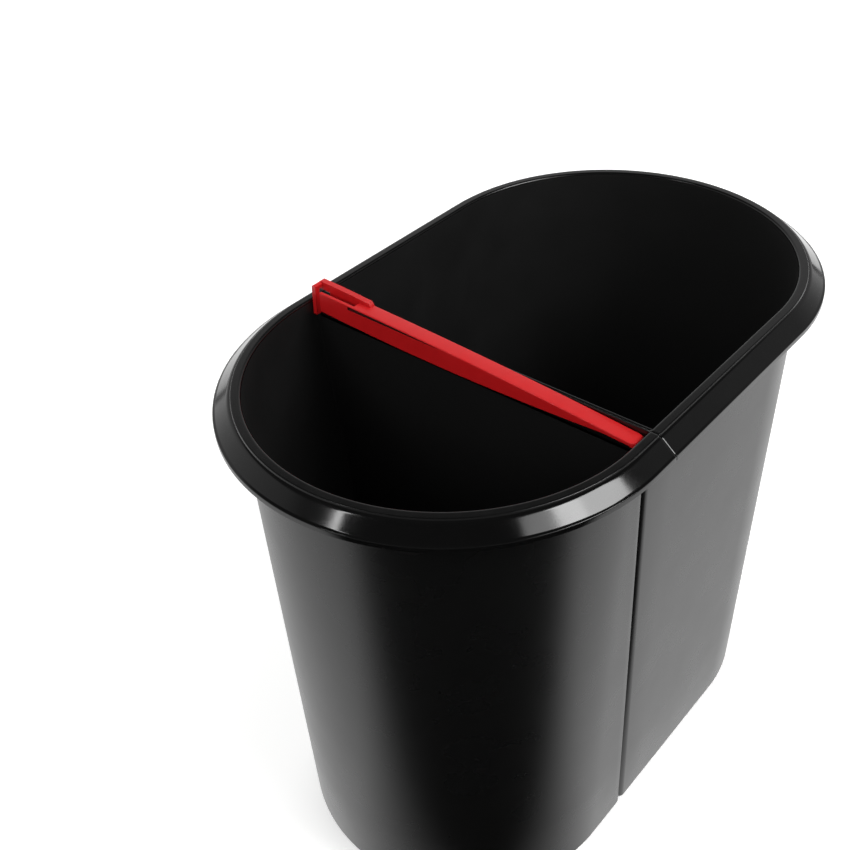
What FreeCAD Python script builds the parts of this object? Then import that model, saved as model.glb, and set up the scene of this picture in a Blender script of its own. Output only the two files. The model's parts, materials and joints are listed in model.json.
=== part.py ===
import FreeCAD, Part
import os
import Sketcher

# Two-part waste separation basket: a large and a small moulded tub stand back to back inside one
# long oval outline, and a red channel-shaped coupling bar straddles their dividing walls.
#
# Frame: origin at the middle of the oval on the floor, +Z up, +Y towards the large tub,
# X across the basket along the dividing walls. The bar is hinged near the +X end.
# Heights are mostly given as drops below the rim, and Y places as distances from the rim seam.

SIZES = {
    # overall
    "rim_width": (274.0, "outer width of the rolled rim"),
    "rim_height": (354.0, "floor to the top of the rim"),
    "centre_gap": (164.0, "between the centres of the two round ends"),
    # tub walls
    "wall": (2.0, "thickness of the tub walls"),
    "floor_thick": (2.5, "thickness of the tub floors"),
    "draft": (7.5, "how far each wall draws in from the collar to the floor"),
    "lean": (19.8, "how far the dividing walls lean towards +Y on their way down"),
    "collar": (24.0, "height of the upright band of wall below the rim top"),
    "corner_round": (4.0, "upright corners beside the dividing walls"),
    "base_round": (3.0, "edge between wall and floor, outside"),
    # rolled rim
    "skirt_reach": (15.3, "wall face to the outer edge of the rim"),
    "skirt_drop": (12.4, "rim top to the lower edge of the skirt"),
    "skirt_thick": (1.8, "thickness of the skirt"),
    "lip_width": (4.0, "flat bead outside the wall face"),
    "lip_round": (1.6, "rounding of the bead into the tub"),
    "lip_step": (0.7, "step between the bead and the slope"),
    "band": (3.4, "upright band at the skirt's outer edge"),
    "edge_round": (0.8, "rounding between the slope and the band"),
    "web": (1.6, "plates that close the skirt at its ends"),
    # dividing walls
    "seam_back": (18.4, "centre of the small tub's round end to the seam between the rims"),
    "seam_gap": (0.4, "gap between the two rims at the seam"),
    "ridge_width": (3.0, "bead on the large tub's dividing wall"),
    "gutter_depth": (22.0, "rim top to the floor of the gutter in front of the ridge"),
    "bar_seat": (7.0, "rim top to the top of the rib and of the small tub's dividing wall"),
    "rib_thick": (1.0, "rib in front of the gutter, which the bar holds"),
    "rib_end_room": (15.7, "rib end to the inside of the side wall"),
    "tub_gap": (0.5, "between the two tubs' dividing walls"),
    # coupling bar
    "bar_width": (10.5, "over both legs of the channel"),
    "leg_front": (1.8, "thickness of the leg in the small tub"),
    "leg_rear": (1.2, "thickness of the leg in the gutter"),
    "bar_to_ridge": (0.35, "rear leg to the ridge"),
    "bar_to_rib": (0.75, "rear leg to the rib"),
    "bar_top": (3.8, "rim top to the bar's top at its ends, when shut"),
    "crown": (1.8, "rise of the bar's top in the middle"),
    "plate": (2.0, "thickness of the bar's top"),
    "nose": (4.2, "pin centre to the end of the bar"),
    "nose_round": (1.8, "upper edge of the bar's end"),
    "leg_start": (16.0, "pin centre to where the legs begin to deepen"),
    "leg_mid_depth": (9.6, "below the bar's top, a bit under half way along the legs"),
    "leg_end_depth": (13.5, "below the bar's top at the free end of the legs"),
    "leg_end_room": (7.7, "free end of the legs to the inside of the side wall"),
    # finger pull at the bar's free end
    "pull_end_room": (1.2, "outside of the pull to the inside of the side wall"),
    "pull_thick": (3.0, "thickness of the end of the pull"),
    "pull_rise": (3.5, "top of the pull above the bar's top at its ends"),
    "strip_width": (3.85, "finger strip along the rear edge"),
    "strip_length": (43.5, "length of the finger strip"),
    "strip_slope": (1.0, "bevel at the free end of the strip"),
    "window_length": (34.5, "finger window, from the end of the pull"),
    "tongue_width": (3.65, "tongue that reaches down into the small tub"),
    "tongue_drop": (17.7, "tongue below the bar's top"),
    # hinge of the bar
    "pin_radius": (1.5, "moulded cross pin"),
    "pin_fit": (0.06, "radial clearance of the pin in its socket"),
    "pin_drop": (9.0, "rim top to the pin centre"),
    "pin_room": (6.3, "pin centre to the inside of the side wall"),
    "pin_proud": (0.6, "pin past the small tub's dividing wall"),
    "lug_radius": (3.2, "lug that carries the pin"),
    "boss_radius": (2.9, "socket boss on the small tub's dividing wall"),
    "snap_width": (2.5, "mouth of the socket, a little narrower than the pin"),
    "notch_drop": (4.6, "floor of the notch beside the socket, below the pin centre"),
    "rest_lift": (2.9, "degrees that the bar stands open at rest"),
}

# Derived places that several pieces share, as expressions on the sheet.
RADIUS = "(dims.rim_width / 2 - dims.skirt_reach)"
INSIDE = f"({RADIUS} - dims.wall)"
RIM = "dims.rim_height"
COLLAR_FOOT = f"({RIM} - dims.collar)"
SKIRT_FOOT = f"({RIM} - dims.skirt_drop)"
RIB_FACE = "(dims.bar_to_ridge + dims.leg_rear + dims.bar_to_rib + dims.rib_thick)"
SMALL_FACE = f"({RIB_FACE} + dims.tub_gap)"
PIN_X = f"({INSIDE} - dims.pin_room)"

doc = FreeCAD.newDocument("waste_separation_basket")
dims = doc.addObject("Spreadsheet::Sheet", "dims")


def fill_sheet():
    """Write every driving dimension into the sheet under its alias."""
    for row, (alias, (size, note)) in enumerate(SIZES.items(), start=1):
        dims.set(f"A{row}", alias)
        dims.set(f"B{row}", str(size))
        dims.setAlias(f"B{row}", alias)
        dims.set(f"C{row}", note)
    doc.recompute()


def number(expression):
    """The value of an expression on the sheet."""
    return float(dims.evalExpression(expression.replace("dims.", "")))


def new_body(label, x_place, y_place, z_place):
    """A body whose origin is bound to the sheet."""
    body = doc.addObject("PartDesign::Body", label)
    body.Label = label
    for letter, place in zip("xyz", (x_place, y_place, z_place)):
        body.setExpression(f"Placement.Base.{letter}", place)
    return body


def plane_of(body, role):
    """One of the body's own origin planes or axes, by its role."""
    return next(item for item in body.Origin.OriginFeatures if item.Role == role)


def new_sketch(body, name, role, offset="0"):
    """A sketch on an origin plane, moved along the plane's normal."""
    sketch = body.newObject("Sketcher::SketchObject", name)
    sketch.AttachmentSupport = [(plane_of(body, role), "")]
    sketch.MapMode = "FlatFace"
    sketch.setExpression("AttachmentOffset.Base.z", offset)
    return sketch


def bind(sketch, geometry, spot, place):
    """Hold a point of the sketch at two distances from the origin, both bound to the sheet."""
    for kind, expression in zip(("DistanceX", "DistanceY"), place):
        rule = Sketcher.Constraint(kind, -1, 1, geometry, spot, number(expression))
        index = sketch.addConstraint(rule)
        sketch.setExpression(f"Constraints[{index}]", expression)


def near_spot(sketch, geometry, place):
    """Which end of an edge, 1 or 2, lies at a place."""
    return min((1, 2), key=lambda spot: sketch.getPoint(geometry, spot).distanceToPoint(place))


def draw(sketch, stops):
    """A closed outline through the stops. A stop (x, y, (u, v)) bends to the next one through (u, v)."""
    places = [FreeCAD.Vector(number(stop[0]), number(stop[1]), 0) for stop in stops]
    ends = []
    for index, stop in enumerate(stops):
        start = places[index]
        end = places[(index + 1) % len(stops)]
        if len(stop) == 3:
            via = FreeCAD.Vector(number(stop[2][0]), number(stop[2][1]), 0)
            edge = sketch.addGeometry(Part.Arc(start, via, end), False)
            guide = sketch.addGeometry(Part.Point(via), True)
            bind(sketch, guide, 1, stop[2])
            sketch.addConstraint(Sketcher.Constraint("PointOnObject", guide, 1, edge))
        else:
            edge = sketch.addGeometry(Part.LineSegment(start, end), False)
        first = near_spot(sketch, edge, start)
        bind(sketch, edge, first, stop[:2])
        ends.append((edge, first, 3 - first))
    for (edge, _, last), (following, first, _) in zip(ends, ends[1:] + ends[:1]):
        sketch.addConstraint(Sketcher.Constraint("Coincident", edge, last, following, first))


def box_stops(x_low, x_high, y_low, y_high):
    """The four corners of a rectangle."""
    return [(x_low, y_low), (x_high, y_low), (x_high, y_high), (x_low, y_high)]


def draw_circle(sketch, x_place, y_place, radius):
    """A circle bound to the sheet."""
    middle = FreeCAD.Vector(number(x_place), number(y_place), 0)
    circle = sketch.addGeometry(Part.Circle(middle, FreeCAD.Vector(0, 0, 1), number(radius)), False)
    bind(sketch, circle, 3, (x_place, y_place))
    index = sketch.addConstraint(Sketcher.Constraint("Radius", circle, number(radius)))
    sketch.setExpression(f"Constraints[{index}]", radius)


def pad(body, name, sketch, length, reverse=False, middle=False):
    """Thicken a sketch into the body, and check that it added something."""
    before = body.Shape.Volume if body.Tip else 0.0
    feature = body.newObject("PartDesign::Pad", name)
    feature.Profile = sketch
    feature.setExpression("Length", length)
    feature.Reversed = reverse
    feature.SideType = "Symmetric" if middle else "One side"
    doc.recompute()
    if feature.Shape.Volume <= before:
        raise RuntimeError(f"{name} adds nothing")
    return feature


def pocket(body, name, sketch, length, reverse=False):
    """Cut a sketch out of the body, and check that it removed something."""
    before = body.Shape.Volume
    feature = body.newObject("PartDesign::Pocket", name)
    feature.Profile = sketch
    feature.setExpression("Length", length)
    feature.Reversed = reverse
    doc.recompute()
    if feature.Shape.Volume >= before:
        raise RuntimeError(f"{name} removes nothing")
    return feature


def mirror(body, name, features):
    """Repeat features on the other side of the YZ plane."""
    feature = body.newObject("PartDesign::Mirrored", name)
    feature.Originals = features
    feature.MirrorPlane = (plane_of(body, "YZ_Plane"), [""])
    body.Tip = feature
    doc.recompute()
    return feature


def fillet(body, name, radius, wanted):
    """Round the edges of the body's last feature for which wanted(edge) holds."""
    base = body.Tip
    names = [f"Edge{i}" for i, edge in enumerate(base.Shape.Edges, start=1) if wanted(edge)]
    feature = body.newObject("PartDesign::Fillet", name)
    feature.Base = (base, names)
    feature.setExpression("Radius", radius)
    doc.recompute()
    return feature


def tub_stops(radius, flat, side, corner):
    """Plan of a tub: a round end, two sides and a flat, with rounded corners. side is the round end's sign."""
    bend = 0.2929
    rise = f"{flat} + {side} * {corner}"
    via_y = f"{flat} + {side} * {bend} * {corner}"
    return [
        (f"-{radius}", "0", ("0", f"{side} * {radius}")),
        (radius, "0"),
        (radius, rise, (f"{radius} - {bend} * {corner}", via_y)),
        (f"{radius} - {corner}", flat),
        (f"{corner} - {radius}", flat, (f"{bend} * {corner} - {radius}", via_y)),
        (f"-{radius}", rise),
    ]


def outer_stops(radius, flat, side):
    """Plan of a tub's outside."""
    return tub_stops(radius, flat, side, "dims.corner_round")


def inner_stops(radius, flat, side):
    """Plan of a tub's inside."""
    return tub_stops(radius, flat, side, "(dims.corner_round - dims.wall)")


def tub_shell(body, side, flat, inner_flat):
    """Walls and floor of a tub, from the floor to the foot of the collar."""
    base_radius = f"({RADIUS} - dims.draft)"
    foot = new_sketch(body, "wall_foot", "XY_Plane")
    draw(foot, outer_stops(base_radius, f"({flat} + dims.lean)", side))
    draw(foot, inner_stops(f"({base_radius} - dims.wall)", f"({inner_flat} + dims.lean)", side))
    head = new_sketch(body, "wall_head", "XY_Plane", COLLAR_FOOT)
    draw(head, outer_stops(RADIUS, flat, side))
    draw(head, inner_stops(INSIDE, inner_flat, side))
    walls = body.newObject("PartDesign::AdditiveLoft", "walls")
    walls.Profile = foot
    walls.Sections = [head]
    walls.Ruled = True
    doc.recompute()

    middle = f"({flat} + {inner_flat}) / 2"
    plan = new_sketch(body, "floor_plan", "XY_Plane")
    draw(plan, inner_stops(f"({base_radius} - dims.wall / 2)", f"({middle} + dims.lean)", side))
    pad(body, "floor", plan, "dims.floor_thick")
    fillet(body, "base_edge", "dims.base_round", lambda edge: edge.BoundBox.ZMax < 1e-3)


def ring_pad(body, name, outer, inner, foot, top):
    """An upright band of wall between two tub plans, from one height to another."""
    sketch = new_sketch(body, f"{name}_plan", "XY_Plane", foot)
    draw(sketch, outer)
    draw(sketch, inner)
    return pad(body, name, sketch, f"{top} - {foot}")


def rim_stops():
    """Section of the rolled rim: bead, step, sloped skirt and upright outer band."""
    edge = f"({RADIUS} + dims.skirt_reach)"
    bead = f"({RADIUS} + dims.lip_width)"
    band_top = f"({SKIRT_FOOT} + dims.band)"
    under = f"({RIM} - dims.lip_step - dims.skirt_thick)"
    half_turn = 0.293
    return [
        (INSIDE, SKIRT_FOOT),
        (INSIDE, f"{RIM} - dims.lip_round",
         (f"{INSIDE} + {half_turn} * dims.lip_round", f"{RIM} - {half_turn} * dims.lip_round")),
        (f"{INSIDE} + dims.lip_round", RIM),
        (bead, RIM),
        (f"{bead} + dims.lip_step", f"{RIM} - dims.lip_step"),
        (f"{edge} - dims.edge_round", f"{band_top} + dims.edge_round / 2",
         (f"{edge} - {half_turn} * dims.edge_round", f"{band_top} - 0.05 * dims.edge_round")),
        (edge, f"{band_top} - dims.edge_round"),
        (edge, SKIRT_FOOT),
        (f"{edge} - dims.skirt_thick", SKIRT_FOOT),
        (f"{edge} - dims.skirt_thick", f"{band_top} - dims.skirt_thick"),
        (bead, under),
        (RADIUS, under),
        (RADIUS, SKIRT_FOOT),
    ]


def web_stops():
    """Plate under the skirt that closes it where the rim ends."""
    edge = f"({RADIUS} + dims.skirt_reach - dims.skirt_thick / 2)"
    band_top = f"({SKIRT_FOOT} + dims.band)"
    under = f"({RIM} - dims.lip_step - dims.skirt_thick)"
    return [
        (f"{RADIUS} - dims.wall / 2", SKIRT_FOOT),
        (edge, SKIRT_FOOT),
        (edge, f"{band_top} - dims.skirt_thick / 2"),
        (f"{RADIUS} + dims.lip_width", f"{under} + dims.skirt_thick / 2"),
        (f"{RADIUS} - dims.wall / 2", f"{under} + dims.skirt_thick / 2"),
    ]


def rolled_rim(body, side, reach):
    """The rim round the tub's end and along its sides, as far as the seam."""
    section = new_sketch(body, "rim_section", "XZ_Plane")
    draw(section, rim_stops())
    turn = body.newObject("PartDesign::Revolution", "rim_round")
    turn.Profile = section
    turn.ReferenceAxis = (plane_of(body, "Z_Axis"), [""])
    turn.Angle = 180
    turn.Reversed = side < 0
    doc.recompute()
    # The XZ plane's normal points along -Y, away from the small tub's seam.
    straight = pad(body, "rim_straight", section, reach, reverse=side < 0)
    plate = new_sketch(body, "web_section", "XZ_Plane", f"{side} * ({reach} - dims.web)")
    draw(plate, web_stops())
    web = pad(body, "rim_web", plate, "dims.web", reverse=side < 0)
    mirror(body, "rim_other_side", [straight, web])


def socket(body):
    """Notch, boss and snap-in socket for the bar's pin in the small tub's dividing wall."""
    pin_z = f"({RIM} - dims.pin_drop)"
    wall_face = f"-(dims.seam_back - {SMALL_FACE} + 1)"
    depth = "dims.wall + 2"
    bend = 0.7071

    notch = new_sketch(body, "notch_outline", "XZ_Plane", wall_face)
    draw(notch, [
        (PIN_X, f"{pin_z} + dims.boss_radius",
         (f"{PIN_X} + {bend} * dims.boss_radius", f"{pin_z} + {bend} * dims.boss_radius")),
        (f"{PIN_X} + dims.boss_radius", pin_z),
        (f"{PIN_X} + dims.boss_radius", f"{pin_z} - dims.notch_drop"),
        (INSIDE, f"{pin_z} - dims.notch_drop"),
        (INSIDE, RIM),
        (PIN_X, RIM),
    ])
    pocket(body, "notch", notch, depth, reverse=True)

    mouth = new_sketch(body, "socket_mouth_outline", "XZ_Plane", wall_face)
    half = "dims.snap_width / 2"
    draw(mouth, box_stops(f"{PIN_X} - {half}", f"{PIN_X} + {half}", pin_z, RIM))
    pocket(body, "socket_mouth", mouth, depth, reverse=True)

    hole = new_sketch(body, "socket_outline", "XZ_Plane", wall_face)
    draw_circle(hole, PIN_X, pin_z, "dims.pin_radius + dims.pin_fit")
    pocket(body, "pin_socket", hole, depth, reverse=True)


def small_tub():
    """The small tub, with the origin of its body at the centre of its round end."""
    body = new_body("front_container", "0", "-dims.centre_gap / 2", "0")
    flat = f"(dims.seam_back - {SMALL_FACE})"
    inner_flat = f"({flat} - dims.wall)"
    tub_shell(body, -1, flat, inner_flat)
    outer = outer_stops(RADIUS, flat, -1)
    ring_pad(body, "collar_band", outer, inner_stops(INSIDE, inner_flat, -1), COLLAR_FOOT, SKIRT_FOOT)
    divider = new_sketch(body, "divider_top_plan", "XY_Plane", SKIRT_FOOT)
    draw(divider, box_stops(f"-{RADIUS}", RADIUS, inner_flat, flat))
    pad(body, "divider_top", divider, "dims.skirt_drop - dims.bar_seat")
    rolled_rim(body, -1, "(dims.seam_back - dims.seam_gap / 2)")
    socket(body)
    return body


def gutter_end(body, flat, seam, gutter_floor):
    """Side wall at each end of the gutter, up to just under the small tub's rim."""
    plan = new_sketch(body, "gutter_end_plan", "XY_Plane", gutter_floor)
    corner = "dims.corner_round"
    bend = 0.2929
    draw(plan, [
        (f"{RADIUS} - {corner}", flat, (f"{RADIUS} - {bend} * {corner}", f"{flat} + {bend} * {corner}")),
        (RADIUS, f"{flat} + {corner}"),
        (RADIUS, f"{seam} + dims.wall"),
        (INSIDE, f"{seam} + dims.wall"),
        (INSIDE, f"{flat} + {corner}"),
        (f"{RADIUS} - {corner}", f"{flat} + dims.rib_thick"),
    ])
    wall = pad(body, "gutter_end", plan, f"{SKIRT_FOOT} - dims.seam_gap - {gutter_floor}")
    mirror(body, "gutter_other_end", [wall])


def large_tub():
    """The large tub, with the origin of its body at the centre of its round end."""
    body = new_body("rear_container", "0", "dims.centre_gap / 2", "0")
    seam = "(dims.seam_back - dims.centre_gap)"
    flat = f"({seam} - {RIB_FACE})"
    ridge_back = f"({seam} + dims.wall)"
    gutter_floor = f"({RIM} - dims.gutter_depth)"
    rib_top = f"({RIM} - dims.bar_seat)"
    tub_shell(body, 1, flat, f"({flat} + dims.wall)")
    inner = inner_stops(INSIDE, ridge_back, 1)
    ring_pad(body, "gutter_ledge", outer_stops(RADIUS, flat, 1), inner, COLLAR_FOOT, gutter_floor)
    upright = tub_stops(RADIUS, seam, 1, "dims.wall / 4")
    ring_pad(body, "collar_band", upright, inner, gutter_floor, SKIRT_FOOT)
    gutter_end(body, flat, seam, gutter_floor)

    ridge = new_sketch(body, "ridge_section", "YZ_Plane")
    half_ridge = "dims.ridge_width / 2"
    draw(ridge, [
        (seam, gutter_floor),
        (seam, f"{RIM} - {half_ridge}", (f"{seam} + {half_ridge}", RIM)),
        (f"{seam} + dims.ridge_width", f"{RIM} - {half_ridge}"),
        (f"{seam} + dims.ridge_width", f"{RIM} - dims.bar_seat"),
        (ridge_back, f"{RIM} - dims.bar_seat - dims.ridge_width"),
        (ridge_back, gutter_floor),
    ])
    pad(body, "ridge", ridge, f"2 * {INSIDE} + dims.wall / 2", middle=True)

    rib = new_sketch(body, "rib_plan", "XY_Plane", gutter_floor)
    rib_end = f"({INSIDE} - dims.rib_end_room)"
    draw(rib, box_stops(f"-{rib_end}", rib_end, flat, f"{flat} + dims.rib_thick"))
    pad(body, "rib", rib, f"{rib_top} - {gutter_floor}")
    rolled_rim(body, 1, f"(dims.centre_gap - dims.seam_back - dims.seam_gap / 2)")
    return body


def bar_channel(body):
    """The channel itself: a crowned top with two legs that deepen towards the free end."""
    top = "(dims.pin_drop - dims.bar_top)"
    under = f"({top} - dims.plate)"
    legs_end = f"(dims.leg_end_room - {INSIDE} - {PIN_X})"
    middle = f"({legs_end} / 2)"
    turn = 0.293
    outline = new_sketch(body, "channel_outline", "XZ_Plane")
    draw(outline, [
        ("dims.nose", under),
        ("dims.nose", f"{top} - dims.nose_round",
         (f"dims.nose - {turn} * dims.nose_round", f"{top} - {turn} * dims.nose_round")),
        ("dims.nose - dims.nose_round", top, (middle, f"{top} + dims.crown")),
        (legs_end, top),
        (legs_end, f"{top} - dims.leg_end_depth",
         (f"0.4 * {legs_end} - 0.5 * dims.leg_start", f"{top} - dims.leg_mid_depth")),
        ("-dims.leg_start", under),
    ])
    pad(body, "channel_block", outline, "dims.bar_width")

    hollow = new_sketch(body, "hollow_outline", "XZ_Plane", "dims.leg_rear")
    low = f"({top} - 2 * dims.leg_end_depth)"
    draw(hollow, [
        ("-dims.leg_start", low),
        ("-dims.leg_start", under, (middle, f"{under} + dims.crown")),
        (f"{legs_end} - 1", under),
        (f"{legs_end} - 1", low),
    ])
    pocket(body, "hollow", hollow, "dims.bar_width - dims.leg_front - dims.leg_rear", reverse=True)
    nose_corners(body)


def nose_corners(body):
    """Round the bar's hinged end in plan."""
    corner = "(dims.bar_width / 3)"
    bend = 0.2929
    plan = new_sketch(body, "nose_plan", "XY_Plane")
    for edge, inward in (("0", -1), ("-dims.bar_width", 1)):
        draw(plan, [
            (f"dims.nose - {corner}", edge,
             (f"dims.nose - {bend} * {corner}", f"{edge} + {inward} * {bend} * {corner}")),
            ("dims.nose", f"{edge} + {inward} * {corner}"),
            (f"dims.nose + {corner}", f"{edge} + {inward} * {corner}"),
            (f"dims.nose + {corner}", f"{edge} - {inward}"),
            (f"dims.nose - {corner}", f"{edge} - {inward}"),
        ])
    pocket(body, "nose_corners", plan, "dims.pin_drop", reverse=True)


def bar_pull(body):
    """Finger window, raised strip, rounded end and tongue at the bar's free end."""
    top = "(dims.pin_drop - dims.bar_top)"
    crest = f"({top} + dims.pull_rise)"
    pull_end = f"(dims.pull_end_room - {INSIDE} - {PIN_X})"
    pull_inner = f"({pull_end} + dims.pull_thick)"
    window_end = f"({pull_end} + dims.window_length)"
    strip_end = f"({pull_end} + dims.strip_length)"

    window = new_sketch(body, "window_plan", "XY_Plane", f"{top} - 2 * dims.plate")
    draw(window, box_stops(pull_inner, window_end, "dims.leg_front - dims.bar_width", "-dims.strip_width"))
    pocket(body, "finger_window", window, "4 * dims.plate + dims.crown", reverse=True)

    strip = new_sketch(body, "strip_outline", "XZ_Plane")
    draw(strip, [
        (pull_end, f"{top} - dims.plate"),
        (strip_end, f"{top} - dims.plate"),
        (strip_end, f"{top} + dims.crown / 2"),
        (f"{strip_end} - dims.pull_rise / 2", crest),
        (f"{pull_end} + dims.strip_slope", crest),
        (pull_end, f"{crest} - dims.strip_slope"),
    ])
    pad(body, "finger_strip", strip, "dims.strip_width")

    end_piece = new_sketch(body, "pull_end_outline", "XZ_Plane")
    draw(end_piece, box_stops(pull_end, pull_inner, top, f"{crest} - dims.strip_slope"))
    pad(body, "pull_end", end_piece, "dims.bar_width")

    tongue = new_sketch(body, "tongue_outline", "XZ_Plane", "dims.bar_width - dims.tongue_width")
    draw(tongue, box_stops(pull_end, pull_inner, f"{top} - dims.tongue_drop", f"{crest} - dims.strip_slope"))
    pad(body, "tongue", tongue, "dims.tongue_width")


def bar_hinge(body):
    """Lug on the rear leg and the cross pin that snaps into the small tub's dividing wall."""
    under = "(dims.pin_drop - dims.bar_top - dims.plate)"
    lug = new_sketch(body, "lug_outline", "XZ_Plane")
    draw(lug, [
        ("-dims.lug_radius", "0", ("0", "-dims.lug_radius")),
        ("dims.lug_radius", "0"),
        ("dims.lug_radius", f"{under} + dims.plate / 2"),
        ("-dims.lug_radius", f"{under} + dims.plate / 2"),
    ])
    pad(body, "pin_lug", lug, "dims.leg_rear")
    pin = new_sketch(body, "pin_outline", "XZ_Plane", "dims.leg_rear / 2")
    draw_circle(pin, "0", "0", "dims.pin_radius")
    reach = f"{SMALL_FACE} + dims.wall + dims.pin_proud - dims.bar_to_ridge"
    pad(body, "cross_pin", pin, f"{reach} - dims.leg_rear / 2")


def coupling_bar():
    """The bar, with the origin of its body on the pin's axis at the rear face, turned to its rest angle."""
    seam = "(dims.seam_back - dims.centre_gap / 2)"
    body = new_body("coupling_bar", PIN_X, f"{seam} - dims.bar_to_ridge", f"{RIM} - dims.pin_drop")
    bar_channel(body)
    bar_pull(body)
    bar_hinge(body)
    body.setExpression("Placement.Rotation.Axis.x", "0")
    body.setExpression("Placement.Rotation.Axis.y", "1")
    body.setExpression("Placement.Rotation.Axis.z", "0")
    body.setExpression("Placement.Rotation.Angle", "dims.rest_lift")
    return body


def check_document():
    """Stop if any object failed to build."""
    doc.recompute()
    for item in doc.Objects:
        if "Invalid" in item.State or "Error" in item.State:
            raise RuntimeError(f"{item.Label} did not build: {item.State}")


def write_steps(bodies):
    """Check each piece and write it under its own name."""
    os.makedirs("parts", exist_ok=True)
    for body in bodies:
        shape = body.Shape
        if shape.isNull() or not shape.isValid():
            raise RuntimeError(f"{body.Label} has no valid shape")
        shape.exportStep(f"parts/{body.Label}.step")
        box = shape.BoundBox
        print(body.Label, "solids", len(shape.Solids), "volume cm3", round(shape.Volume / 1000, 1),
              "x", round(box.XMin, 2), round(box.XMax, 2), "y", round(box.YMin, 2), round(box.YMax, 2),
              "z", round(box.ZMin, 2), round(box.ZMax, 2))


fill_sheet()
pieces = [large_tub(), small_tub(), coupling_bar()]
check_document()
write_steps(pieces)
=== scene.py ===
# %% [markdown]
# # A two-part waste basket with a coupling bar
# The object is three injection mouldings: a large tub, a small tub that stands against it inside
# the same oval outline, and a red bar that is hooked over both dividing walls. This lesson rebuilds
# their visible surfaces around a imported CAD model, which gives every place and joint.

# %% Load the frame
import json
from math import acos, cos, hypot, pi, radians, sin, sqrt

import bmesh
import bpy
from mathutils import Matrix, Vector


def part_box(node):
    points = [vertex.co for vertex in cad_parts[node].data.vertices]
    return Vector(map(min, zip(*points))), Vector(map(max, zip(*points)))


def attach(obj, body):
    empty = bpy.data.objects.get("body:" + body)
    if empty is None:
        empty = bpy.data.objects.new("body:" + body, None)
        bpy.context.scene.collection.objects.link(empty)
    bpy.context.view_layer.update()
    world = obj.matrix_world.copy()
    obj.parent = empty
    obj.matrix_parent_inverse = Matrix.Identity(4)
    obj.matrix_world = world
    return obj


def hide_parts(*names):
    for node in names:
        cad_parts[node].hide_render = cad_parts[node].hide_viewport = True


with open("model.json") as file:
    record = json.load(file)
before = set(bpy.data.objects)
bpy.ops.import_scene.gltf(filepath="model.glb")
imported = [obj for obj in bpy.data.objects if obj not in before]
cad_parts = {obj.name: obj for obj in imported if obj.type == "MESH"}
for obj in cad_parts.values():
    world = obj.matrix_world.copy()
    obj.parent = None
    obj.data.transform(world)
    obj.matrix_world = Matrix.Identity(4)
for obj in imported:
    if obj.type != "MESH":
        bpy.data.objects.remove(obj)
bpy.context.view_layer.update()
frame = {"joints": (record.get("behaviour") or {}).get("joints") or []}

# %% [markdown]
# ## Sizes
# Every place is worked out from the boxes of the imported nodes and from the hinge, so the looks
# follow the model. The wall, the rim's section and the bar's section are small sizes that a box
# doesn't show, so they are written once, in millimetres, where they are first needed. `MM` turns
# them to metres.

# %% Sizes of the tubs and their rim
MM = 0.001
small_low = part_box("front_container")[0]
large_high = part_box("rear_container")[1]

RIM_TOP = large_high.z / MM
RIM_EDGE = large_high.x / MM
ROUND_Y = -small_low.y / MM - RIM_EDGE  # centres of the two round ends
WALL = 2.0
SKIRT_REACH = 15.3  # the rim's outer edge stands this far out from the wall
OUTSIDE = RIM_EDGE - SKIRT_REACH
INSIDE = OUTSIDE - WALL
DRAFT = 7.5  # the wall comes in by this from the collar to the floor
LEAN = 19.8  # and the dividing wall by this
SKIRT_FOOT = RIM_TOP - 12.4
COLLAR_FOOT = RIM_TOP - 24.0
FLOOR = 2.5
CORNER, TIGHTEST_CORNER = 4.0, 0.8  # radius in plan, outside and at the least
print("rim", round(RIM_EDGE * 2, 1), "wide,", round(RIM_TOP, 1), "high")
print("round ends at y =", round(ROUND_Y, 1), "and", round(-ROUND_Y, 1))

# %% [markdown]
# The two dividing walls meet at the seam, which lies off the middle, because the small tub is
# shorter. The faces of both walls are set out from it, and the bar's places from the hinge's pin.

# %% Places at the seam and the hinge
SEAM_GAP = 0.4
SEAM_Y = -ROUND_Y + 18.4
RIB_FACE = SEAM_Y - 3.3
SMALL_FACE = SEAM_Y - 3.8
pin_joint = next(joint for joint in frame["joints"] if joint["name"] == "bar_hinge")
PIN_X, _, PIN_Z = (value / MM for value in pin_joint["pos_m"])
NOTCH = PIN_Z - 4.6  # the bar's nose swings down to here
print("seam at y =", round(SEAM_Y, 1), "; pin at x, z =", round(PIN_X, 1), round(PIN_Z, 1))

# %% [markdown]
# ## Helpers for meshes
# `finish_piece` turns a bmesh into an object, shades it smooth with sharp edges kept by angle, and
# lets it ride on its CAD body. A narrow Bevel modifier can soften edges that only a real mould
# would round.

# %% Piece helper
SOFTENED_ABOVE = 35


def finish_piece(name, bm, body, nodes, materials, sharp=40, edge_round=0.0):
    """A finished object from a bmesh in millimetres."""
    bmesh.ops.scale(bm, vec=(MM, MM, MM), verts=bm.verts)
    mesh = bpy.data.meshes.new(name)
    bm.to_mesh(mesh)
    bm.free()
    piece = bpy.data.objects.new(name, mesh)
    bpy.context.scene.collection.objects.link(piece)
    for material in materials:
        mesh.materials.append(material)
    for polygon in mesh.polygons:
        polygon.use_smooth = True
    mesh.set_sharp_from_angle(angle=radians(sharp))
    if edge_round:
        soften = piece.modifiers.new("softened edges", "BEVEL")
        soften.width = edge_round * MM
        soften.segments = 2
        soften.limit_method = "ANGLE"
        soften.angle_limit = radians(SOFTENED_ABOVE)
        soften.use_clamp_overlap = True
    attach(piece, body)
    for node in nodes:
        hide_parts(node)
    print(name, "faces:", len(mesh.polygons))

# %% [markdown]
# `prism` makes a solid from a flat outline: one face, extruded. That is how ribs and brackets are
# drawn in any CAD program. `arc` and `rectangle` give the commonest runs of such an outline.

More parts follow.
